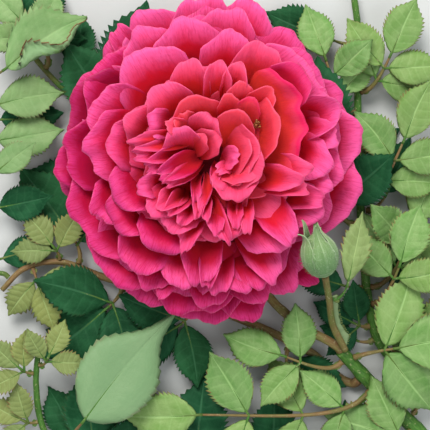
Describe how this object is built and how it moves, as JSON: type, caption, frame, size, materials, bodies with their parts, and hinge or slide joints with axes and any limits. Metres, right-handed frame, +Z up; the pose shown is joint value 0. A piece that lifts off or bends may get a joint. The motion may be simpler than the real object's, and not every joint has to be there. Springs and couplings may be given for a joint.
{
  "type": "flowering rose shoot",
  "caption": "Cut flowering rose shoot lying flat: a large pink open bloom facing up, a green bud, thin stems and toothed compound leaves.",
  "frame": {"origin": "middle of the shoot's plan, at its lowest point, where it rests on a level surface", "axes": "+Z up, the way the bloom faces; +Y to the top of the shoot as seen from above; +X to its right"},
  "size_m": [0.1985, 0.1997, 0.0533],
  "materials": {
    "petal_pink": "soft satin petals, deep pink with coral bases",
    "calyx_green": "matt green sepals and hip",
    "bud_green": "matt pale green, finely haired",
    "stalk_russet": "smooth reddish-brown young stem",
    "cane_green": "smooth green stem",
    "leaf_green": "semi-matt mid-green leaf",
    "leaf_young": "semi-matt yellow-green young leaf with reddish edges"
  },
  "bodies": {
    "root": {"bloom": "petal_pink", "bloom_stalk": "stalk_russet", "bottom_shoot": "cane_green", "bud": "bud_green", "bud_stalk": "stalk_russet", "calyx": "calyx_green", "cane": "cane_green", "edge_shoot": "stalk_russet", "leaf_arch_low": "leaf_green", "leaf_arch_up": "leaf_green", "leaf_behind_arch": "leaf_green", "leaf_behind_bud": "leaf_green", "leaf_behind_edge": "leaf_green", "leaf_behind_end": "leaf_green", "leaf_behind_foot": "leaf_green", "leaf_behind_left": "leaf_green", "leaf_behind_low": "leaf_green", "leaf_behind_right": "leaf_green", "leaf_behind_sprout": "leaf_green", "leaf_behind_top": "leaf_green", "leaf_below_bud": "leaf_green", "leaf_below_corner": "leaf_green", "leaf_below_edge": "leaf_green", "leaf_below_end": "leaf_green", "leaf_below_far": "leaf_green", "leaf_below_foot": "leaf_green", "leaf_below_high": "leaf_green", "leaf_below_left": "leaf_green", "leaf_below_low": "leaf_green", "leaf_below_middle": "leaf_green", "leaf_below_right": "leaf_green", "leaf_below_side": "leaf_green", "leaf_below_sprout": "leaf_green", "leaf_below_stalk": "leaf_green", "leaf_below_upper": "leaf_green", "leaf_bottom": "leaf_green", "leaf_bud": "leaf_young", "leaf_cane_low": "leaf_green", "leaf_front": "leaf_green", "leaf_node_left": "leaf_green", "leaf_right_edge": "leaf_green", "leaf_right_high": "leaf_green", "leaf_right_low": "leaf_green", "leaf_right_mid": "leaf_green", "leaf_right_petiole": "leaf_green", "leaf_sprout_left": "leaf_young", "leaf_sprout_low": "leaf_young", "leaf_sprout_up": "leaf_young", "leaf_top_left": "leaf_green", "leaf_top_right": "leaf_green", "leaf_upper_curled": "leaf_green", "leaf_upper_end": "leaf_green", "leaf_upper_left": "leaf_green", "leaf_upper_near": "leaf_green", "leaf_upper_pale": "leaf_green", "left_shoot": "stalk_russet", "right_shoot": "cane_green", "sprout_stem": "cane_green", "upper_left_shoot": "stalk_russet"}
  },
  "joints": []
}
